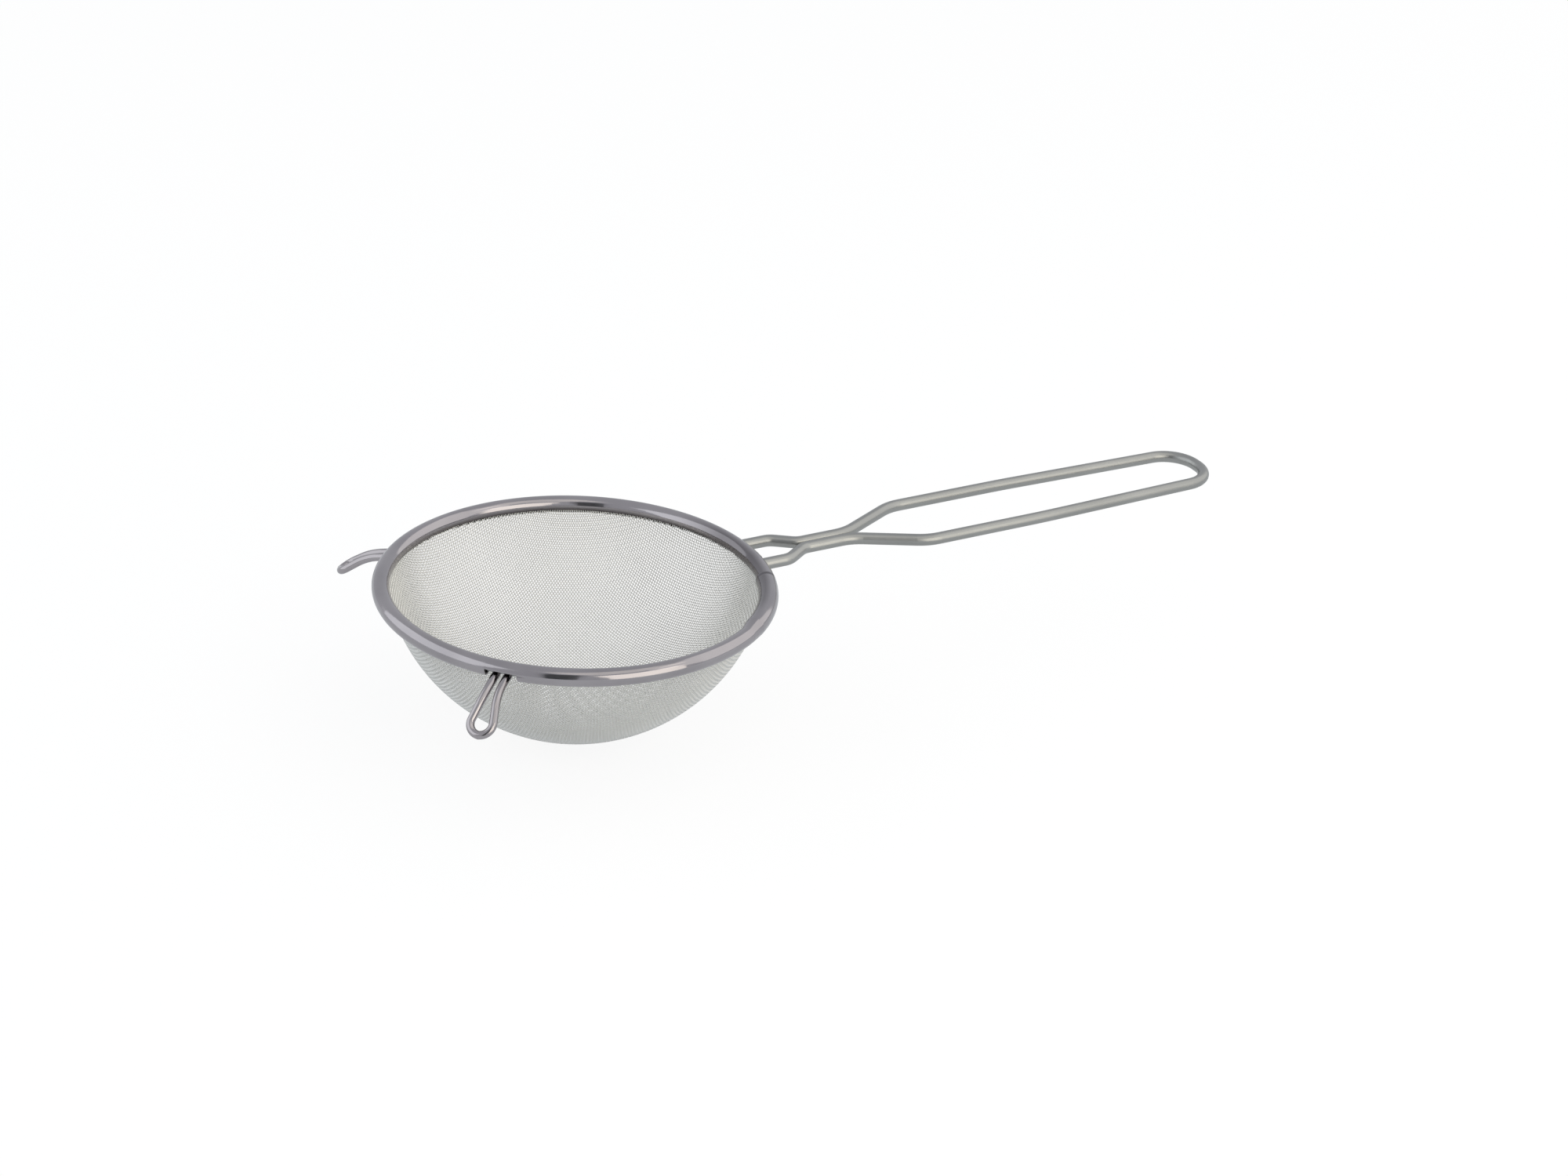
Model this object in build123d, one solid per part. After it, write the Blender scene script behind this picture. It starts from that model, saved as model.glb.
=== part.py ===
"""Round-bottomed wire strainer: a pressed wire-cloth bowl held in a rolled rim, with a bent-wire handle.

All lengths are in millimetres. The origin is the centre of the rim, at the middle of its rolled edge.
The rim lies level, the bowl hangs below it, the handle points along +X and +Z is up.
"""
import os
from math import acos, asin, atan2, cos, degrees, hypot, pi, radians, sin, sqrt

from build123d import *

os.makedirs("parts", exist_ok=True)

# Rim: the outside of the whole strainer, the strip that is rolled and the wire inside it
rim_diameter = 140.0
band_thickness = 0.45
hoop_wire_diameter = 3.0
lip_clearance = 0.15
band_clearance = 0.25

# Wire cloth: two wires thick where they cross, and wrapped round the hoop wire as a hem
cloth_wire_diameter = 0.35
cloth_wire_spacing = 0.95
hem_clearance = 0.15
hem_end_angle = 64.0
bowl_depth = 52.9

# Net of the bowl: laid as the cloth's own wires lie, but with wide meshes, counted from the middle to the rim
meshes_to_rim = 6
net_margin = 0.8
cloth_turn_angle = 22.9

# Lap joint of the rolled strip, beside the handle: angles are round the rim from the handle's middle
lap_edge_angle = -17.0
lap_angle = 32.0
lap_taper_angle = 6.0

# Handle: one wire, bent into a long loop whose two ends run side by side and then part to the rim
handle_wire_diameter = 4.3
leg_spacing = 16.3
leg_straight_length = 9.2
neck_distance = 17.6
neck_length = 19.7
neck_gap = 0.3
splay_length = 24.8
grip_width = 34.2
grip_parallel_length = 48.0
grip_end_width = 29.4
handle_reach = 190.4
leg_height = 0.0
tip_height = 4.9
leg_bend_radius = 6.4
neck_bend_radius = 17.4
shoulder_bend_radius = 17.6
grip_bend_radius = 400.0
tip_bend_share = 0.95
leg_notch_clearance = 0.3
weld_depth = 0.4

# Rest hooks: one thin wire each, bent by hand into a long eye that leans out and down from the rim
hook_wire_diameter = 2.8
hook_angle = 45.0
hook_leg_spacing = 4.0
hook_eye_spacing = 9.2
hook_root_height = -1.2
hook_root_length = 10.8
hook_root_slope_angle = 13.0
left_eye_length = 12.9
left_eye_slope_angle = 35.0
right_eye_length = 14.6
right_eye_slope_angle = 43.0
hook_bend_radius = 20.0
hook_tip_radius = 4.1
hook_notch_width = 11.4
notch_top_height = 0.4

# How far a cutting tool reaches past what it cuts, and how near two ends are when they count as one point
overrun = 1.0
same_point = 0.0001

# Section of the rolled rim, from the hoop wire outwards
cloth_thickness = 2 * cloth_wire_diameter
hoop_radius = hoop_wire_diameter / 2
hem_radius = hoop_radius + hem_clearance + cloth_thickness / 2
hollow_radius = hem_radius + cloth_thickness / 2 + band_clearance
tube_radius = hollow_radius + band_thickness
rim_radius = rim_diameter / 2 - tube_radius
rim_edge = rim_diameter / 2

# The bowl's wall is a sphere that runs into the hem without a corner: its centre and radius follow from that
middle_depth = bowl_depth - cloth_thickness / 2
sphere_centre = (rim_radius**2 - (middle_depth + hem_radius) ** 2) / (2 * (middle_depth + hem_radius))
wall_radius = sphere_centre + middle_depth
wall_outside = wall_radius + cloth_thickness / 2
wall_inside = wall_radius - cloth_thickness / 2
hem_start_angle = 180 - degrees(atan2(sphere_centre, rim_radius))

# The net's strips weigh as much as the wires of the cloth, and its last meshes end just below the rim
cloth_volume_share = 2 * pi * (cloth_wire_diameter / 2) ** 2 / (cloth_wire_spacing * cloth_thickness)
strip_share = 1 - sqrt(1 - cloth_volume_share)
wall_turn = acos(sphere_centre / wall_radius)
net_turn = wall_turn - (tube_radius + net_margin) / wall_radius
mesh_turn = net_turn / meshes_to_rim
strip_width = strip_share * mesh_turn * wall_radius


def arc(centre, radius, start, end):
    """Arc of a section, between two angles in degrees, drawn from the first to the second."""
    return CenterArc(centre, radius, start, end - start)


def revolved(edges, start=0.0, turn=360.0):
    """Solid of revolution about Z of a closed outline, drawn in the plane of radius and height."""
    section = make_face(Plane.XZ * (Curve() + edges))
    return Rot(0, 0, start) * revolve(section, axis=Axis.Z, revolution_arc=turn)


def joined(*curves):
    """The curves with straight lines that close the outline from each to the next."""
    edges = list(curves)
    for first, second in zip(curves, curves[1:] + curves[:1]):
        if (first @ 1 - second @ 0).length > same_point:
            edges.append(Line(first @ 1, second @ 0))
    return edges


def crossing_angle(centre, radius, wall):
    """Angle about a point of the rim's section at which a circle meets a sphere of the bowl from below."""
    distance = hypot(centre, sphere_centre)
    towards_bowl = 180 - degrees(atan2(sphere_centre, centre))
    share_of_radius = (distance**2 + radius**2 - wall**2) / (2 * distance * radius)
    return towards_bowl + degrees(acos(share_of_radius))


def quarter_net():
    """Crossings in one quarter of the net, as directions from the sphere's centre.

    Pressing wire cloth shears its meshes but doesn't stretch its wires. So each crossing is the mirror
    image of the one diagonally behind it, in the plane through its two neighbours and the centre.
    """
    net = {}
    for k in range(meshes_to_rim + 1):
        net[k, 0] = Vector(sin(k * mesh_turn), 0, -cos(k * mesh_turn))
        net[0, k] = Vector(0, sin(k * mesh_turn), -cos(k * mesh_turn))
    for i in range(meshes_to_rim):
        for j in range(meshes_to_rim):
            across = net[i, j + 1].cross(net[i + 1, j]).normalized()
            net[i + 1, j + 1] = net[i, j] - across * (2 * net[i, j].dot(across))
    return net


def opening(first, second, third, fourth):
    """Prism through one mesh between four crossings, its sides set in from their lines by half a strip."""
    half_length = wall_radius * (third - first).length / 2
    half_width = wall_radius * (fourth - second).length / 2
    lean = atan2(half_width, half_length)
    length = half_length - strip_width / 2 / sin(lean)
    width = half_width - strip_width / 2 / cos(lean)
    outline = Polyline((length, 0), (0, width), (-length, 0), (0, -width), close=True)
    start = (first + third) * ((wall_inside - overrun) / 2)
    place = Plane(origin=start, x_dir=third - first, z_dir=start)
    prism = extrude(place * make_face(outline), amount=wall_outside + overrun - start.length)
    return prism & Pos(0, 0, -wall_radius * cos(net_turn)) * below_rim()


def below_rim():
    """Block that keeps only what lies under its top face, at zero height."""
    return Box(2 * rim_edge, 2 * rim_edge, 2 * bowl_depth, align=(Align.CENTER, Align.CENTER, Align.MAX))


def net_openings():
    """Prisms through the meshes below the rim: those of one quarter of the net, and their copies round Z."""
    net = quarter_net()
    quarter = []
    for i in range(meshes_to_rim):
        for j in range(meshes_to_rim):
            first, third = net[i, j], net[i + 1, j + 1]
            if (first + third).normalized().Z < -cos(net_turn):
                quarter.append(opening(first, net[i + 1, j], third, net[i, j + 1]))
    return [
        Pos(0, 0, sphere_centre) * Rot(0, 0, cloth_turn_angle + turn) * prism
        for turn in range(0, 360, 90)
        for prism in quarter
    ]


def mesh_bowl():
    """Wire cloth, pressed to a bowl, with its edge turned over the hoop wire."""
    middle = (0, sphere_centre)
    rim = (rim_radius, 0)
    meeting_angle = hem_start_angle - 180
    wall = revolved(
        joined(
            arc(middle, wall_outside, -90, meeting_angle),
            arc(rim, hem_radius - cloth_thickness / 2, hem_start_angle, hem_end_angle),
            arc(rim, hem_radius + cloth_thickness / 2, hem_end_angle, hem_start_angle),
            arc(middle, wall_inside, meeting_angle, -90),
        )
    )
    return wall - net_openings()


def band_outline(swell):
    """Section of the strip: its two lips close on the cloth, and swell is what a lap adds on the bowl's side."""
    inner_wall = wall_inside - lip_clearance
    outer_wall = wall_outside + lip_clearance
    middle = rim_radius - swell
    radius = tube_radius + swell
    hollow = arc(
        (rim_radius, 0),
        hollow_radius,
        crossing_angle(rim_radius, hollow_radius, inner_wall),
        crossing_angle(rim_radius, hollow_radius, outer_wall) - 360,
    )
    outside = arc(
        (middle, 0),
        radius,
        crossing_angle(middle, radius, outer_wall) - 360,
        crossing_angle(middle, radius, inner_wall),
    )
    return joined(hollow, outside)


def notch_cutter(angle, across, width, top):
    """Blocks that notch the strip from its lower lip up to a height on its outer side, shifted by across."""
    bottom = -tube_radius - overrun
    reach = tube_radius + overrun
    corner = (Align.MIN, Align.CENTER, Align.MIN)
    outer_side = Pos(rim_radius, across, bottom) * Box(reach, width, top - bottom, align=corner)
    lower_lip = Pos(rim_radius - reach, across, bottom) * Box(reach, width, -bottom, align=corner)
    lower_lip -= Pos(0, 0, sphere_centre) * Sphere(wall_radius)
    return Rot(0, 0, angle) * (outer_side + lower_lip)


def rim_band():
    """Strip rolled round the hem, lapped over its own end beside the handle and notched for the wires."""
    lap_end = lap_edge_angle - lap_angle
    taper_end = lap_end - lap_taper_angle
    plain = revolved(band_outline(0.0), lap_edge_angle, 360 - lap_angle - lap_taper_angle)
    lap = revolved(band_outline(band_thickness), lap_end, lap_angle)
    taper_faces = [
        Rot(0, 0, angle) * make_face(Plane.XZ * (Curve() + band_outline(swell)))
        for angle, swell in ((lap_end, band_thickness), (taper_end, 0.0))
    ]
    band = plain + lap + loft(taper_faces, ruled=True)
    leg_width = handle_wire_diameter + 2 * leg_notch_clearance
    leg_top = leg_height + handle_wire_diameter / 2 + leg_notch_clearance
    for side in (-1, 1):
        band -= notch_cutter(0, side * leg_spacing / 2, leg_width, leg_top)
        band -= notch_cutter(180 + side * hook_angle, 0, hook_notch_width, notch_top_height)
    return band


def hoop_wire():
    """Closed wire ring that stiffens the rim and carries every welded end."""
    return Torus(rim_radius, hoop_radius)


def bent_wire(points, radii, diameter):
    """Round wire along straight runs and bends."""
    path = FilletPolyline(*points, radius=radii)
    start = Plane(origin=path @ 0, z_dir=path % 0)
    return sweep(start * Circle(diameter / 2), path=path)


def handle_wire():
    """Long loop of one wire: its ends are welded to the hoop wire, side by side but apart."""
    half_wire = handle_wire_diameter / 2
    neck_side = half_wire + neck_gap / 2
    grip_side = grip_width / 2 - half_wire
    end_side = grip_end_width / 2 - half_wire
    neck_start = rim_edge + neck_distance
    shoulder = neck_start + neck_length + splay_length
    tip = rim_edge + handle_reach - half_wire
    weld_radius = rim_radius + hoop_radius - weld_depth
    root = weld_radius * cos(asin(leg_spacing / 2 / weld_radius))
    rise_share = (tip_height - leg_height) / (tip - root)
    plan = (
        (root, leg_spacing / 2),
        (rim_edge + leg_straight_length, leg_spacing / 2),
        (neck_start, neck_side),
        (neck_start + neck_length, neck_side),
        (shoulder, grip_side),
        (shoulder + grip_parallel_length, grip_side),
        (tip, end_side),
    )
    far_side = [(x, y, leg_height + rise_share * (x - root)) for x, y in plan]
    near_side = [(x, -y, z) for x, y, z in reversed(far_side)]
    bends = (
        leg_bend_radius,
        leg_bend_radius,
        neck_bend_radius,
        shoulder_bend_radius,
        grip_bend_radius,
        tip_bend_share * end_side,
    )
    wire = bent_wire(far_side + near_side, bends + bends[::-1], handle_wire_diameter)
    return wire - hoop_wire()


def rest_hook(angle, eye_length, eye_slope_angle):
    """Long eye of thin wire at an angle round the rim: it leans out, then down, to catch a pan's edge."""
    root_slope = radians(hook_root_slope_angle)
    bend = rim_radius + hook_root_length * cos(root_slope)
    bend_height = hook_root_height - hook_root_length * sin(root_slope)
    tip = bend + eye_length * cos(radians(eye_slope_angle))
    eye_height = bend_height - eye_length * sin(radians(eye_slope_angle))
    left_side = [
        (rim_radius, hook_leg_spacing / 2, hook_root_height),
        (bend, hook_leg_spacing / 2, bend_height),
        (tip, hook_eye_spacing / 2, eye_height),
    ]
    right_side = [(x, -y, z) for x, y, z in reversed(left_side)]
    bends = (hook_bend_radius, hook_tip_radius)
    wire = bent_wire(left_side + right_side, bends + bends[::-1], hook_wire_diameter)
    return Rot(0, 0, angle) * wire - hoop_wire()


pieces = {
    "mesh_bowl": mesh_bowl(),
    "rim_band": rim_band(),
    "hoop_wire": hoop_wire(),
    "handle_wire": handle_wire(),
    "rest_hook_left": rest_hook(180 - hook_angle, left_eye_length, left_eye_slope_angle),
    "rest_hook_right": rest_hook(180 + hook_angle, right_eye_length, right_eye_slope_angle),
}

for name, piece in pieces.items():
    export_step(piece, f"parts/{name}.step")
    box = piece.bounding_box()
    print(name, len(piece.solids()), "solid", round(piece.volume), "mm3", box.min, box.max)
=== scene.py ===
# %% [markdown]
# # A round-bottomed wire strainer
#
# The strainer is a bowl of woven steel wire, pressed to the shape of a ball. Its edge is wrapped
# round a wire ring, and a strip of polished steel is rolled over both as the rim. One bent wire makes
# the handle, and two small wire hooks on the side away from it rest on the edge of a pan.
#
# The solid model gives the rim, the ring, the handle and the hooks. Here the bowl is woven, the metals
# get their finish, and the strainer gets a table, lamps and a camera. One Blender unit is a metre,
# +X runs along the handle, +Z is up and the middle of the rim is at zero.

from math import atan2, cos, degrees, hypot, pi, radians, sin

import bpy
from mathutils import Euler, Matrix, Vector


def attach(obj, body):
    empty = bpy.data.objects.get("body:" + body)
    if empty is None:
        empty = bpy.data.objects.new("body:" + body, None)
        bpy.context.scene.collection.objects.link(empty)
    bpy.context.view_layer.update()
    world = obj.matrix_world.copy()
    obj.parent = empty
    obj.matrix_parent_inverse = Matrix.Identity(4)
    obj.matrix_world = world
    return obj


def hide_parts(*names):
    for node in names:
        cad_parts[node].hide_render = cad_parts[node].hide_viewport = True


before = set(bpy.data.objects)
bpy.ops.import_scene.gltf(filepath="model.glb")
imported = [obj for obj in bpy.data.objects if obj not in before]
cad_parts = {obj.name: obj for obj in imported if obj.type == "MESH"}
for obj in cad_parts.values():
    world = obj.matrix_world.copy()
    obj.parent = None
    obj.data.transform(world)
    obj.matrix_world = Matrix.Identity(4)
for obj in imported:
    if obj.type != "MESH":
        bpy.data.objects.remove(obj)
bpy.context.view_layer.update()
scene = bpy.context.scene
print("solid pieces:", sorted(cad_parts))

# %% [markdown]
# ## Sizes of the bowl
#
# The real bowl is a piece of wire cloth, pressed to part of a ball, with its edge turned round the ring
# inside the rim. It is woven here from the same sizes as the solid one, so that it fits between the
# rolled lips of the rim. The ball touches the small circle that the cloth makes round the ring, so the
# wall runs on into this hem without a corner, and the ball's centre and radius follow from the rim and
# the depth. They could be typed in too, but then a new depth would tear the cloth from the rim.

# %% Work out the ball and the hem
mm = 0.001
rim_radius = 66.95 * mm
bowl_depth = 52.9 * mm
wire_thickness = 0.35 * mm
wire_spacing = 0.95 * mm
hem_radius = 2.0 * mm
hem_end_angle = radians(64)

cloth_thickness = 2 * wire_thickness
middle_depth = bowl_depth - cloth_thickness / 2
depth_with_hem = middle_depth + hem_radius
centre_height = (rim_radius**2 - depth_with_hem**2) / (2 * depth_with_hem)
wall_radius = centre_height + middle_depth
print("radius of the ball", round(wall_radius / mm, 2), "mm")
print("its centre is", round(centre_height / mm, 2), "mm above the rim")

# %% [markdown]
# ## Where the wires cross
#
# Woven wire doesn't stretch. When a flat piece of it is pressed into a bowl, the distance along each wire
# from one crossing to the next stays the same, and only the angle between the wires changes. A picture
# of cloth laid over the ball would be simpler, but it would stretch at the sides, and up close it
# wouldn't be wire. So the crossings are worked out one by one.
#
# On the two middle wires the crossings are simply one spacing apart. From there, each new crossing is as
# far from its two neighbours as the crossing diagonally behind it, so it is that crossing's mirror image
# in the plane through the two neighbours and the centre of the ball. One quarter of the bowl is enough,
# because the other three are its mirror images.

# %% Directions to the crossings of one quarter
rim_slope = atan2(centre_height, rim_radius)
wall_turn = pi / 2 - rim_slope
hem_start_angle = pi - rim_slope
hem_turn = (hem_start_angle - hem_end_angle) * hem_radius / wall_radius
step_turn = wire_spacing / wall_radius
crossings_each_way = int((wall_turn + hem_turn) / step_turn) + 1


def quarter_net(count):
    """Directions from the ball's centre to the crossings of one quarter."""
    net = {}
    for k in range(count):
        net[k, 0] = Vector((sin(k * step_turn), 0, -cos(k * step_turn)))
        net[0, k] = Vector((0, sin(k * step_turn), -cos(k * step_turn)))
    for i in range(1, count):
        for j in range(1, count):
            across = net[i - 1, j].cross(net[i, j - 1]).normalized()
            behind = net[i - 1, j - 1]
            net[i, j] = behind - 2 * behind.dot(across) * across
    return net


quarter = quarter_net(crossings_each_way + 1)
print("crossings from the middle to the hem:", crossings_each_way)

# %% [markdown]
# ## From a direction to a place
#
# Most crossings lie on the ball. Where the cloth leaves it, the wires go on round the ring inside the
# rim, so the last few crossings are laid on that small circle, in the upright plane through the middle of
# the strainer. The whole weave is turned a little from the handle, as the cloth of a real strainer is:
# nobody lines it up before it is pressed.

# %% Lay a crossing on the ball or on the hem
weave_turn = radians(22.9)


def turn_of(direction):
    """Angle at the ball's centre between a direction and straight down."""
    return atan2(hypot(direction.x, direction.y), -direction.z)


def laid(direction, lift):
    """Place for a direction from the ball's centre, lifted outwards from the middle of the cloth."""
    turn = turn_of(direction)
    azimuth = atan2(direction.y, direction.x) + weave_turn
    if turn <= wall_turn:
        out = (wall_radius + lift) * sin(turn)
        height = centre_height - (wall_radius + lift) * cos(turn)
    else:
        angle = hem_start_angle - (turn - wall_turn) * wall_radius / hem_radius
        out = rim_radius + (hem_radius - lift) * cos(angle)
        height = (hem_radius - lift) * sin(angle)
    return Vector((out * cos(azimuth), out * sin(azimuth), height))


bottom = laid(quarter[0, 0], 0)
print("the cloth's middle is", round(-bottom.z / mm, 2), "mm below the rim")

# %% [markdown]
# ## Over and under
#
# A wire is a line of crossings: the warp runs one way, the weft the other. Where one passes over, the
# other passes under, and at the next crossing they change places. So a crossing is lifted by half a wire
# off the middle of the cloth, outwards or inwards in turn, and the two families are lifted opposite
# ways. Straight wires that pass through each other would be easier, but much of the glitter on real cloth
# comes from these small waves.


# %% Follow one wire
def crossing(i, j, lift_side):
    """Place of a crossing, counted both ways from the middle wires, or None beyond the hem."""
    direction = quarter[abs(i), abs(j)].copy()
    direction.x *= -1 if i < 0 else 1
    direction.y *= -1 if j < 0 else 1
    if turn_of(direction) > wall_turn + hem_turn:
        return None
    side = lift_side if (i + j) % 2 == 0 else -lift_side
    return laid(direction, side * wire_thickness / 2)


def wire_line(number, along_warp):
    """The unbroken run of crossings on one wire."""
    places = []
    for k in range(-crossings_each_way, crossings_each_way + 1):
        place = crossing(k, number, 1) if along_warp else crossing(number, k, -1)
        if place is not None:
            places.append(place)
    return places


print("crossings on the middle wire:", len(wire_line(0, True)))

# %% [markdown]
# ## Strips of wires
#
# The cloth is one piece on the real strainer. As one mesh it would have more than a million triangles,
# which is too much for many programs, so the warp and the weft are four strips of wires each. The strips
# only hold the middle lines of the wires so far: corners joined by edges.

# %% Middle lines of the warp and the weft
inner_share = 0.38
fewest_crossings = 3


def line_mesh(name, numbers, along_warp):
    """Middle lines of the wires with these numbers."""
    corners = []
    edges = []
    for number in numbers:
        places = wire_line(number, along_warp)
        if len(places) < fewest_crossings:
            continue
        first = len(corners)
        corners += places
        edges += [(k, k + 1) for k in range(first, len(corners) - 1)]
    mesh = bpy.data.meshes.new(name)
    mesh.from_pydata(corners, edges, [])
    return mesh


inner = round(inner_share * crossings_each_way)
strips = {
    "far_left": range(inner + 1, crossings_each_way + 1),
    "left": range(1, inner + 1),
    "right": range(-inner, 1),
    "far_right": range(-crossings_each_way, -inner),
}
wire_sets = {}
for side, numbers in strips.items():
    wire_sets[f"warp_wires_{side}"] = line_mesh(f"warp_wires_{side}", numbers, True)
    wire_sets[f"weft_wires_{side}"] = line_mesh(f"weft_wires_{side}", numbers, False)
for name, mesh in wire_sets.items():
    print(name, len(mesh.vertices), "crossings")

# %% [markdown]
# ## Nodes and sums
#
# Finishes and the weaving are both made of nodes. Each node is made the same way: its settings come
# first, because they decide which sockets it has, and then each socket gets a value or a link.
# Finishes are worked out from a few patterns. Math nodes could be made and linked one by one, but the
# class Value lets them be written as sums, as on paper: a wrapped socket plus a number makes the Math
# node that adds them.


# %% Sockets that can be added and multiplied
class Value:
    """One number, colour or place that comes out of a node, ready for sums."""

    def __init__(self, finish, socket):
        self.finish = finish
        self.socket = socket

    def __add__(self, other):
        return self.finish.math("ADD", self, other)

    def __radd__(self, other):
        return self.finish.math("ADD", other, self)

    def __sub__(self, other):
        return self.finish.math("SUBTRACT", self, other)

    def __rsub__(self, other):
        return self.finish.math("SUBTRACT", other, self)

    def __mul__(self, other):
        return self.finish.math("MULTIPLY", self, other)

    def __rmul__(self, other):
        return self.finish.math("MULTIPLY", other, self)


def add_node(tree, kind, settings=None, inputs=None):
    """A node with its settings made first and its sockets then filled or linked."""
    made = tree.nodes.new(kind)
    for key, setting in (settings or {}).items():
        setattr(made, key, setting)
    for key, given in (inputs or {}).items():
        source = given.socket if isinstance(given, Value) else given
        if isinstance(source, bpy.types.NodeSocket):
            tree.links.new(source, made.inputs[key])
        else:
            made.inputs[key].default_value = source
    return made


print("a socket can now be added, subtracted and multiplied")

# %% [markdown]
# ## A finish
#
# A finish is one material. The class below starts it empty and offers the few patterns that all the
# metals share: noise, a ramp between two values, a mix of two colours and a bump. Patterns read
# Object coordinates, which for every piece here are the strainer's own metres, so a pattern keeps its
# size on each piece and needs no unwrapping.


# %% Materials built node by node
class Finish:
    """A material that is built node by node."""

    def __init__(self, name):
        self.material = bpy.data.materials.new(name)
        self.material.use_nodes = True
        self.tree = self.material.node_tree
        self.tree.nodes.clear()

    def node(self, kind, settings=None, inputs=None):
        """A new node, as the list of its outputs."""
        made = add_node(self.tree, kind, settings, inputs)
        return [Value(self, socket) for socket in made.outputs]

    def outputs_by_name(self, kind):
        """A new node, as its outputs by name."""
        return {value.socket.name: value for value in self.node(kind)}

    def math(self, operation, first, second=0.0):
        """One sum on one or two numbers."""
        return self.node("ShaderNodeMath", {"operation": operation}, {0: first, 1: second})[0]

    def object_place(self):
        """The place on the piece, in metres."""
        return self.outputs_by_name("ShaderNodeTexCoord")["Object"]

    def split(self, place):
        """X, Y and Z of a place."""
        return self.node("ShaderNodeSeparateXYZ", None, {0: place})

    def joined(self, x, y, z=0.0):
        """A place from its X, Y and Z."""
        return self.node("ShaderNodeCombineXYZ", None, {0: x, 1: y, 2: z})[0]

    def noise(self, place, scale, detail):
        """Soft random values round a half, with about as many patches to a metre as the scale says."""
        return self.node("ShaderNodeTexNoise", None, {"Vector": place, "Scale": scale, "Detail": detail})[0]

    def ramped(self, value, start, end):
        """0 at the start, 1 at the end, and even steps between."""
        return self.node("ShaderNodeMapRange", None, {"Value": value, "From Min": start, "From Max": end})[0]

    def mixed(self, share, first, second):
        """Colour between two, by a share from 0 to 1."""
        colours = [given if isinstance(given, Value) else (*given, 1) for given in (first, second)]
        # The Mix node has its colours in sockets 6 and 7 and gives the mixed colour in its third output.
        inputs = {"Factor": share, 6: colours[0], 7: colours[1]}
        return self.node("ShaderNodeMix", {"data_type": "RGBA"}, inputs)[2]

    def bump(self, height, strength, depth, below=None):
        """A surface raised by up to the depth, on top of the bumps below."""
        inputs = {"Height": height, "Strength": strength, "Distance": depth}
        if below:
            inputs["Normal"] = below
        return self.node("ShaderNodeBump", None, inputs)[0]

    def done(self, inputs):
        """The material with its finished surface."""
        surface = self.node("ShaderNodeBsdfPrincipled", None, inputs)[0]
        self.node("ShaderNodeOutputMaterial", None, {"Surface": surface})
        return self.material


print("a finish can make:", [name for name in vars(Finish) if not name.startswith("_")])

# %% [markdown]
# ## The woven wire's finish
#
# The cloth is drawn steel wire, made soft by heat so that it can be pressed: bright, but not polished.
# Its colour wanders a little over the bowl, and a fine speckle stands for the skin of drawn wire. Each
# wire is about one pixel wide in the photograph, so a plain colour would almost do, but then the bowl
# would look like new plastic.

# %% Finish of the woven wire
woven_dark = (0.73, 0.72, 0.69)
woven_light = (0.86, 0.85, 0.82)
woven_metallic = 0.7
woven_roughness = 0.28
woven_roughness_spread = 0.16
woven_detail = 2.0

woven = Finish("woven_steel_wire")
woven_place = woven.object_place()
wandering = woven.noise(woven_place, scale=45.0, detail=woven_detail)
speckle = woven.noise(woven_place, scale=900.0, detail=woven_detail)
woven_material = woven.done(
    {
        "Base Color": woven.mixed(wandering, woven_dark, woven_light),
        "Metallic": woven_metallic,
        "Roughness": woven_roughness + woven_roughness_spread * speckle,
        "Normal": woven.bump(speckle, strength=0.2, depth=0.02 * mm),
    }
)
print("finish:", woven_material.name)

# %% [markdown]
# ## Weaving
#
# The cloth has tens of thousands of small waves of wire. Each wire could be a curve with a round bevel,
# but that would be some four hundred curves to set up. A Geometry Nodes tree does it in one go: it bends
# each line to a smooth curve through its crossings, sweeps a small circle along it, closes the ends and
# gives the wires their finish. Its inputs are the wire's thickness, the number of flats round it and
# the steps from one crossing to the next.


# %% The tree that makes wire from lines
def weaving_tree():
    """Geometry Nodes that turn edges into round wire."""
    tree = bpy.data.node_groups.new("wire_along_lines", "GeometryNodeTree")
    face = tree.interface
    for label, kind in (
        ("Lines", "NodeSocketGeometry"),
        ("Wire thickness", "NodeSocketFloat"),
        ("Flats round the wire", "NodeSocketInt"),
        ("Steps between crossings", "NodeSocketInt"),
        ("Finish", "NodeSocketMaterial"),
    ):
        face.new_socket(label, in_out="INPUT", socket_type=kind)
    face.new_socket("Wires", in_out="OUTPUT", socket_type="NodeSocketGeometry")

    def step(kind, inputs, settings=None):
        """A new node, as its first output."""
        return add_node(tree, kind, settings, inputs).outputs[0]

    start = add_node(tree, "NodeGroupInput").outputs
    radius = step("ShaderNodeMath", {0: start["Wire thickness"], 1: 0.5}, {"operation": "MULTIPLY"})
    flats = {"Resolution": start["Flats round the wire"], "Radius": radius}
    circle = step("GeometryNodeCurvePrimitiveCircle", flats)
    line = step("GeometryNodeMeshToCurve", {"Mesh": start["Lines"]})
    smooth = step("GeometryNodeCurveSplineType", {"Curve": line}, {"spline_type": "CATMULL_ROM"})
    steps = {"Geometry": smooth, "Resolution": start["Steps between crossings"]}
    stepped = step("GeometryNodeSetSplineResolution", steps)
    swept = step("GeometryNodeCurveToMesh", {"Curve": stepped, "Profile Curve": circle, "Fill Caps": True})
    soft = step("GeometryNodeSetShadeSmooth", {"Geometry": swept})
    real = step("GeometryNodeRealizeInstances", {"Geometry": soft})
    finished = step("GeometryNodeSetMaterial", {"Geometry": real, "Material": start["Finish"]})
    add_node(tree, "NodeGroupOutput", None, {"Wires": finished})
    return tree


weaving = weaving_tree()
print("weaving tree:", len(weaving.nodes), "nodes")

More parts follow.
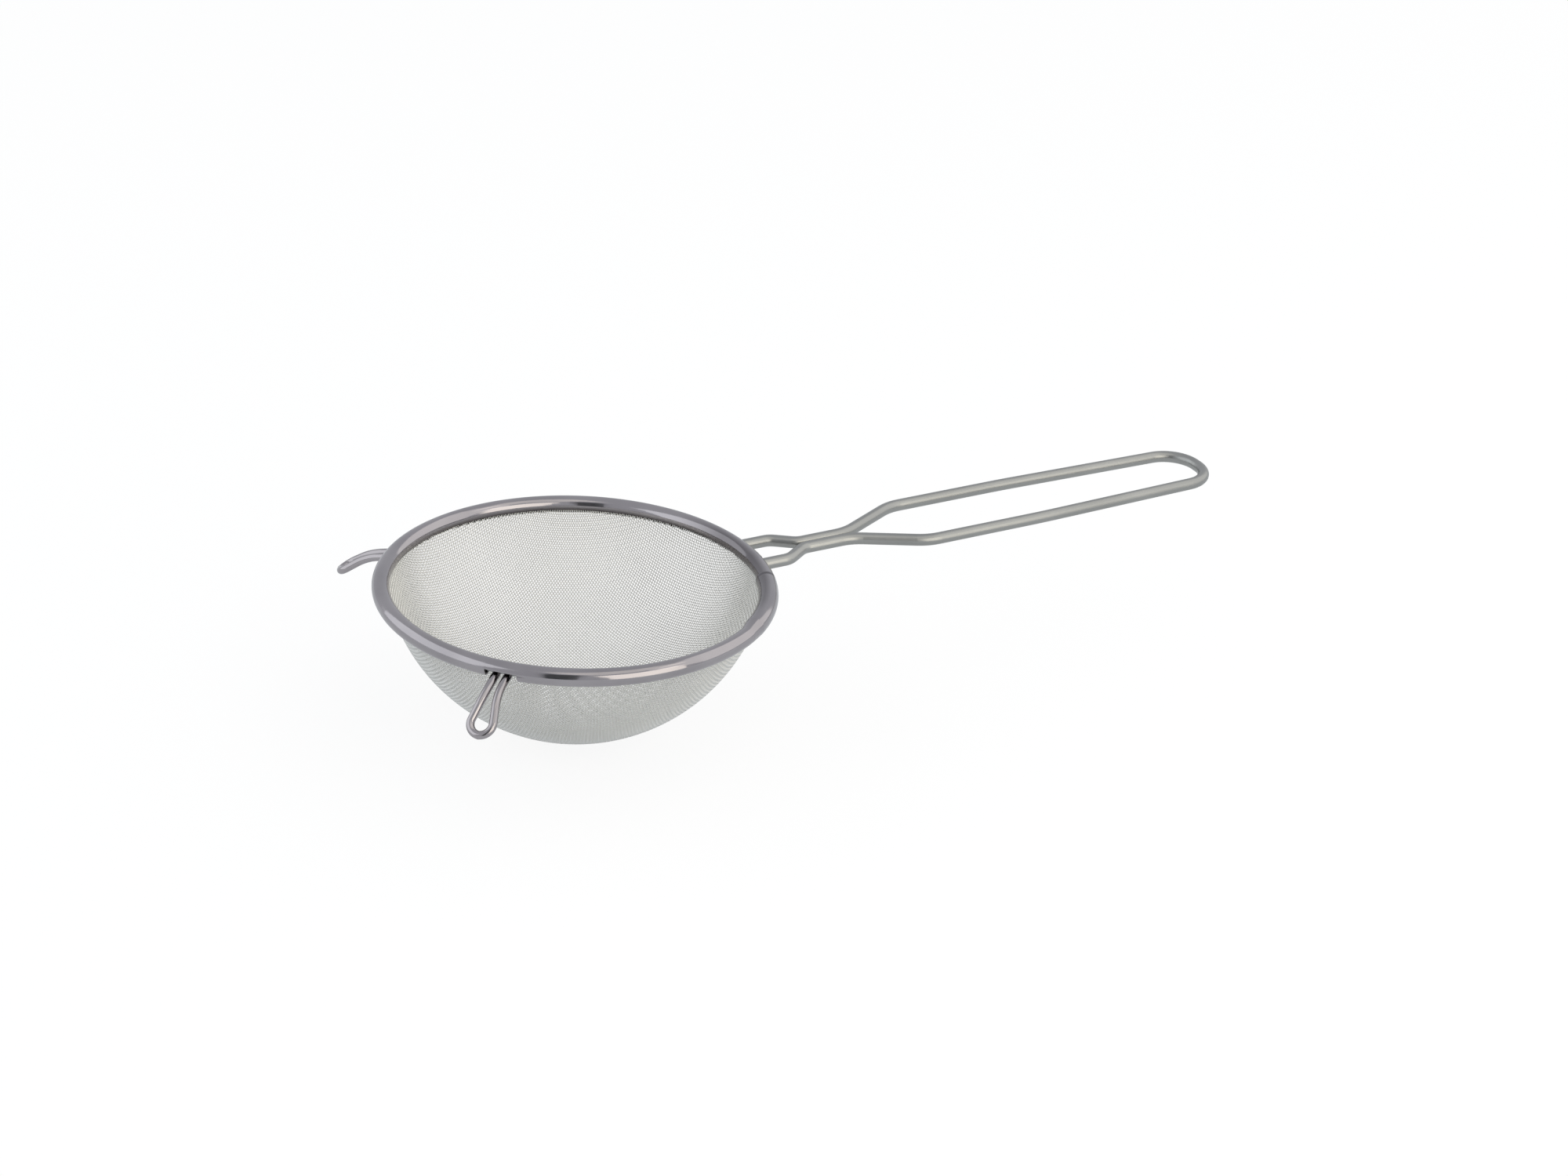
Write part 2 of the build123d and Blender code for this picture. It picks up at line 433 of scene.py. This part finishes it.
# %% [markdown]
# ## The cloth
#
# Each strip of lines gets the tree as a modifier, and its result is kept as a plain mesh. Five flats and
# two steps between crossings make a wire that is round enough at a third of a millimetre, and they keep
# every strip light. The woven strips take the place of the solid model's coarse net.

# %% Weave the strips
tree_inputs = {
    "Wire thickness": wire_thickness,
    "Flats round the wire": 5,
    "Steps between crossings": 2,
    "Finish": woven_material,
}


def woven_piece(name, lines):
    """Wires along the lines, as a plain mesh with the tree's result kept."""
    holder = bpy.data.objects.new(name, lines)
    scene.collection.objects.link(holder)
    modifier = holder.modifiers.new("wires", "NODES")
    modifier.node_group = weaving
    for item in weaving.interface.items_tree:
        if item.in_out == "INPUT" and item.name in tree_inputs:
            modifier[item.identifier] = tree_inputs[item.name]
    bpy.context.view_layer.update()
    seen = holder.evaluated_get(bpy.context.evaluated_depsgraph_get())
    mesh = bpy.data.meshes.new_from_object(seen)
    holder.modifiers.remove(modifier)
    holder.data = mesh
    mesh.name = name
    return holder


for name, lines in wire_sets.items():
    piece = woven_piece(name, lines)
    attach(piece, "root")
    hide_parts("mesh_bowl")
    print(name, len(piece.data.polygons), "faces")

# %% [markdown]
# ## Lines that follow the metal
#
# Rolling and drawing leave hair-fine lines on metal, and the lines run the way the metal moved: round the
# rim, and along the handle. Lines could be drawn as a texture on an unwrapped piece. It is simpler to
# bend the place that a noise pattern reads. Read by distance from the middle and by height alone,
# the pattern can't change on the way round the rim. Read with X squeezed, it draws out along the handle.

# %% Places for the line patterns
handle_squeeze = 0.05


def from_middle(finish, x, y):
    """Distance from the upright line through the middle of the rim."""
    return finish.node("ShaderNodeVectorMath", {"operation": "LENGTH"}, {0: finish.joined(x, y)})[1]


def around_rim(finish, place):
    """A place as distance from the middle and height, for lines that run round the rim."""
    x, y, z = finish.split(place)
    return finish.joined(from_middle(finish, x, y), z)


def along_handle(finish, place):
    """A place squeezed along X, for lines that run along the handle."""
    x, y, z = finish.split(place)
    return finish.joined(x * handle_squeeze, y, z)


print("lines on the handle are drawn out", round(1 / handle_squeeze), "times")

# %% [markdown]
# ## Worn and cloudy metal
#
# The rim, the ring, the handle and the hooks are all bare stainless steel, which differs only in how
# bright, how smooth and how evenly it is polished. So one function makes all four finishes. Its colour
# drifts in soft clouds and its polish in smaller smudges, the hair-fine lines raise it a little, and
# shallow dents bend the reflections, because hand-finished metal is never quite true. A finish
# may also be given painted shade and a painted dark reflection, which darken its colour.

# %% One recipe for the metals
cloud_scale = 38.0
smudge_scale = 160.0
dent_scale = 110.0
patchy_detail = 3.0
even_detail = 1.0
line_strength = 0.5
dent_strength = 0.6
# Colour and strength of the painted shade and painted dark reflection that a finish may be given.
painted_shade_and_reflection_colour = (0.04, 0.035, 0.04)
painted_shade_and_reflection_strength = 0.85


def metal(name, dark, light, roughness, spread, line_place, line_scale, line_depth, dent_depth, painted_shade_and_reflection=None):
    """Metal whose colour and polish wander between two values, with fine lines and shallow dents."""
    finish = Finish(name)
    place = finish.object_place()
    clouds = finish.noise(place, cloud_scale, patchy_detail)
    smudges = finish.noise(place, smudge_scale, patchy_detail)
    lines = finish.noise(line_place(finish, place), line_scale, even_detail)
    dents = finish.noise(place, dent_scale, even_detail)
    colour = finish.mixed(clouds, dark, light)
    # Painted shade and a painted dark reflection darken the colour where the mask says.
    if painted_shade_and_reflection:
        colour = finish.mixed(painted_shade_and_reflection(finish, place) * painted_shade_and_reflection_strength, colour, painted_shade_and_reflection_colour)
    fine_lines = finish.bump(lines, line_strength, line_depth)
    return finish.done(
        {
            "Base Color": colour,
            "Metallic": 1.0,
            "Roughness": roughness + spread * smudges,
            "Normal": finish.bump(dents, dent_strength, dent_depth, fine_lines),
        }
    )


print("clouds are about", round(1 / cloud_scale / mm), "mm across")

# %% [markdown]
# ## Painted shade and reflection on the rim
#
# Three places on the rim are painted darker than the rest. A line along the edge of the lap, where the strip
# ends on top of itself, is painted shade for the small step there. The inner lip beside the cloth gets
# painted shade for the crease between them, and the inner wall round the handle, near the welds, gets a
# painted dark reflection. The marks could be painted on an unwrapped rim. These follow the rim's own sizes,
# so each is a mask that fades between a clean place and a painted one, and where masks overlap the stronger
# counts.

# %% Masks of the painted shade and reflection
lap_edge_angle = radians(-17)
# Painted shade along the lap's edge, standing for the shadow of the small step where the strip ends on
# itself.
lap_painted_shade_angle = lap_edge_angle - radians(1.1)
lap_painted_shade_fade = (1.3 * mm, 0.5 * mm)
lap_painted_shade_share = 0.85
# Painted shade in the crease between the rim's inner lip and the cloth.
lip_painted_shade_radii = (rim_radius - 1.2 * mm, rim_radius - 2.0 * mm)
lip_painted_shade_heights = (0.4 * mm, -1.2 * mm)
# A painted dark reflection on the rim's inner wall round the handle, near the welds.
weld_painted_reflection_angle = radians(-12)
weld_painted_reflection_fade = (radians(42), radians(24))
weld_painted_reflection_radii = (rim_radius + 0.4 * mm, rim_radius - 1.6 * mm)
weld_painted_reflection_share = 0.6


def rim_painted_shade_and_reflection(finish, place):
    """How dark the rim is painted with shade and reflection, from 0 to 1."""
    x, y, z = finish.split(place)
    distance = from_middle(finish, x, y)
    angle = finish.math("ARCTAN2", y, x)
    from_lap = finish.math("ABSOLUTE", angle - lap_painted_shade_angle) * rim_radius
    from_welds = finish.math("ABSOLUTE", angle - weld_painted_reflection_angle)
    # lap: painted shade along the edge of the lap.
    lap = finish.ramped(from_lap, *lap_painted_shade_fade) * lap_painted_shade_share
    # Painted shade in the crease at the inner lip.
    lip_shade = finish.ramped(distance, *lip_painted_shade_radii) * finish.ramped(z, *lip_painted_shade_heights)
    # A painted dark reflection on the inner wall near the welds.
    weld_reflection = finish.ramped(from_welds, *weld_painted_reflection_fade) * finish.ramped(distance, *weld_painted_reflection_radii)
    return finish.math("MAXIMUM", finish.math("MAXIMUM", lap, lip_shade), weld_reflection * weld_painted_reflection_share)


print("the lap's edge is", round(-degrees(lap_edge_angle)), "degrees from the handle")

# %% [markdown]
# ## The rim
#
# The rim is a rolled strip, polished nearly to a mirror. A mirror that is true all round looks drawn,
# so its polish varies from patch to patch, and it has the deepest dents and the painted shade and
# reflection.

# %% Finish of the rim
rim_material = metal(
    "polished_rim_steel",
    dark=(0.28, 0.262, 0.277),
    light=(0.49, 0.462, 0.474),
    roughness=0.07,
    spread=0.13,
    line_place=around_rim,
    line_scale=2600.0,
    line_depth=0.004 * mm,
    dent_depth=0.12 * mm,
    # The rim's colour carries painted shade and a painted dark reflection.
    painted_shade_and_reflection=rim_painted_shade_and_reflection,
)
print("finish:", rim_material.name)

# %% [markdown]
# ## The rest hooks
#
# The hooks are thin polished wire, as bright as the rim and a little smoother. They are short, so the
# rim's way of drawing lines serves them as well, and their dents are shallower.

# %% Finish of the hooks
hook_material = metal(
    "polished_hook_wire",
    dark=(0.34, 0.315, 0.325),
    light=(0.47, 0.44, 0.45),
    roughness=0.06,
    spread=0.10,
    line_place=around_rim,
    line_scale=1800.0,
    line_depth=0.004 * mm,
    dent_depth=0.05 * mm,
)
print("finish:", hook_material.name)

# %% [markdown]
# ## The handle
#
# The handle is drawn wire that was only brushed. It is grey and satin: no sharp reflections, one broad
# soft light along its top, and lines that follow it from the bowl to the tip.

# %% Finish of the handle
handle_material = metal(
    "satin_handle_wire",
    dark=(0.31, 0.31, 0.30),
    light=(0.42, 0.42, 0.405),
    roughness=0.26,
    spread=0.16,
    line_place=along_handle,
    line_scale=1500.0,
    line_depth=0.010 * mm,
    dent_depth=0.06 * mm,
)
print("finish:", handle_material.name)

# %% [markdown]
# ## The ring inside the rim
#
# The ring is hidden by the cloth and the rim, so nobody polishes it. It is plain drawn wire, darker and
# rougher than the rest.

# %% Finish of the ring
ring_material = metal(
    "drawn_ring_wire",
    dark=(0.26, 0.26, 0.26),
    light=(0.38, 0.38, 0.38),
    roughness=0.35,
    spread=0.2,
    line_place=around_rim,
    line_scale=1500.0,
    line_depth=0.010 * mm,
    dent_depth=0.05 * mm,
)
print("finish:", ring_material.name)

# %% [markdown]
# ## Finishes on the solids
#
# The solid pieces keep their shape as it is. They only trade the grey that they came with for their
# own finish, one for each kind of wire or strip.

# %% Give each solid its finish
solid_finishes = {
    "rim_band": rim_material,
    "hoop_wire": ring_material,
    "handle_wire": handle_material,
    "rest_hook_left": hook_material,
    "rest_hook_right": hook_material,
}
for node_name, material in solid_finishes.items():
    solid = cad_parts[node_name]
    solid.data.materials.clear()
    solid.data.materials.append(material)
    print(node_name, "has", material.name)

# %% [markdown]
# ## The table
#
# The strainer stands on the bottom of its bowl, on a white table top. The background of the photograph is
# plain white, which painted white never is under lamps: it comes out grey or it glares. So the table has
# two surfaces. Lamps meet a plain paint, a cool grey that throws a soft light up at the bowl. The eye
# meets a glowing white with a little paint in it, and that paint keeps the soft shadow under the bowl.
# Mirrors see half of each, so the rim doesn't turn white underneath.

# %% White table top
table_width = 14
table_gap = 0.1 * mm
plain_paint = (0.46, 0.515, 0.565, 1)
shadow_paint = (0.16, 0.16, 0.16, 1)
white = (1, 1, 1, 1)
table_glow = 0.85
mirror_share = 0.5


def white_table_finish():
    """Plain paint for lamps, glowing white for the eye, and some of both for mirrors."""
    table = Finish("white_table_top")
    rays = table.outputs_by_name("ShaderNodeLightPath")
    mirrored = rays["Is Glossy Ray"] * mirror_share
    seen = rays["Is Camera Ray"] + rays["Is Transmission Ray"] + mirrored
    plain = table.node("ShaderNodeBsdfDiffuse", None, {"Color": plain_paint})[0]
    shadowed = table.node("ShaderNodeBsdfDiffuse", None, {"Color": shadow_paint})[0]
    glow = table.node("ShaderNodeEmission", None, {"Color": white, "Strength": table_glow})[0]
    glowing = table.node("ShaderNodeAddShader", None, {0: shadowed, 1: glow})[0]
    surface = table.node("ShaderNodeMixShader", None, {0: seen, 1: plain, 2: glowing})[0]
    table.node("ShaderNodeOutputMaterial", None, {"Surface": surface})
    return table.material


table_height = -bowl_depth - table_gap
bpy.ops.mesh.primitive_plane_add(size=table_width, location=(0, 0, table_height))
table_top = bpy.context.object
table_top.name = "table_top"
table_top.data.materials.append(white_table_finish())
print("table top", round(-table_height / mm, 1), "mm below the rim")

# %% [markdown]
# ## The room
#
# Steel takes its tone from the room. Here the room is one even light grey, a touch blue, as daylight is
# beside warm lamps. A picture of a real room would put stray shapes into the rim.

# %% Grey room
room_colour = (0.615, 0.635, 0.67, 1)
room = bpy.data.worlds.new("grey_room")
scene.world = room
room.use_nodes = True
background = room.node_tree.nodes["Background"]
background.inputs["Color"].default_value = room_colour
background.inputs["Strength"].default_value = 1.0
print("room:", room.name)

# %% [markdown]
# ## Camera
#
# The photograph's viewpoint was found from the rim, which is a true circle: the size and tilt of the oval
# that it makes in the picture, and how much nearer its front looks than its back, give the distance
# and the angle. The lens is a long one, as for a product photograph.

# %% Camera
camera_place = Vector((-411.64 * mm, -878.75 * mm, 483.53 * mm))
camera_turn = Euler((radians(63.610), radians(-3.302), radians(-27.696)))
focal_length = 72
film_width = 36
nearest_seen = 0.05
farthest_seen = 50

lens = bpy.data.cameras.new("camera")
lens.lens = focal_length
lens.sensor_width = film_width
lens.clip_start = nearest_seen
lens.clip_end = farthest_seen
camera = bpy.data.objects.new("camera", lens)
camera.location = camera_place
camera.rotation_euler = camera_turn
scene.collection.objects.link(camera)
scene.camera = camera
scene.view_settings.view_transform = "Standard"
camera_azimuth = degrees(atan2(camera_place.y, camera_place.x))
print("camera", round(camera_place.length, 2), "m away at azimuth", round(camera_azimuth, 1))

# %% [markdown]
# ## Places in the studio
#
# Lamps and cards are easier to place by where they stand, as seen from above, and how high, than by X, Y
# and Z. Both face the strainer, wherever they are.


# %% Places round the table
def around_table(azimuth, elevation, distance):
    """A place round the strainer: azimuth from the handle, elevation above the rim, in degrees."""
    level = distance * cos(radians(elevation))
    height = distance * sin(radians(elevation))
    return Vector((level * cos(radians(azimuth)), level * sin(radians(azimuth)), height))


def facing_middle(thing, place):
    """Put a lamp or a card at a place and turn it to the strainer."""
    thing.location = place
    thing.rotation_euler = place.to_track_quat("Z", "Y").to_euler()


print("a metre to the camera's side is", [round(x, 2) for x in around_table(camera_azimuth, 0, 1)])

# %% [markdown]
# ## Softboxes
#
# Polished metal shows its surroundings, so the lamps are part of its look. Small lamps would leave hard
# dots on every wire. Four wide softboxes light the cloth evenly and draw bright lines along the rim: one
# overhead, two to the right of the camera and one to its left. The left one is a little cool and the
# others are a little warm, which tints the cloth and the rim as in the photograph.

# %% Softboxes
lamp_distance = 1.7
warm = (1.0, 0.94, 0.80)
pale = (1.0, 0.965, 0.88)
cool = (0.93, 0.98, 1.0)


def softbox(name, azimuth, elevation, width, height, power, tint):
    """A wide soft lamp that faces the strainer."""
    lamp = bpy.data.lights.new(name, "AREA")
    lamp.color = tint
    lamp.shape = "RECTANGLE"
    lamp.size = width
    lamp.size_y = height
    lamp.energy = power
    box = bpy.data.objects.new(name, lamp)
    scene.collection.objects.link(box)
    facing_middle(box, around_table(azimuth, elevation, lamp_distance))
    print(name, power, "watts")


# Each row: name, degrees round from the camera, elevation, width, height, power and tint.
for name, beside_camera, elevation, width, height, power, tint in (
    ("softbox_overhead", 50, 72, 1.4, 0.9, 1.9, warm),
    ("softbox_right", 40, 18, 1.3, 1.8, 10.4, warm),
    ("softbox_far_right", 104, 34, 2.3, 1.9, 7.6, pale),
    ("softbox_left", -87, 27, 2.6, 1.7, 9.1, cool),
):
    softbox(name, camera_azimuth + beside_camera, elevation, width, height, power, tint)

# %% [markdown]
# ## Dark card
#
# Polished steel also needs something dark to show. A tall dark card stands behind the camera, and the
# front of the rim and the hooks reflect it as near-black streaks. It is hidden from the camera and from
# diffuse light and it throws no shadow, so it changes nothing but the reflections.

# %% The card behind the camera
card_distance = 1.6
card_grey = (0.16, 0.16, 0.16, 1)


def card(name, azimuth, elevation, width, height, colour):
    """A painted board that only mirrors can see."""
    finish = Finish(name)
    paint = finish.node("ShaderNodeBsdfDiffuse", None, {"Color": colour})[0]
    finish.node("ShaderNodeOutputMaterial", None, {"Surface": paint})
    bpy.ops.mesh.primitive_plane_add(size=1)
    board = bpy.context.object
    board.name = name
    board.scale = (width, height, 1)
    facing_middle(board, around_table(azimuth, elevation, card_distance))
    board.data.materials.append(finish.material)
    board.visible_camera = False
    board.visible_diffuse = False
    board.visible_shadow = False
    print(name, width, "by", height, "m")


card("dark_card_beside_camera", camera_azimuth - 7, elevation=22, width=0.5, height=1.9, colour=card_grey)

# %% [markdown]
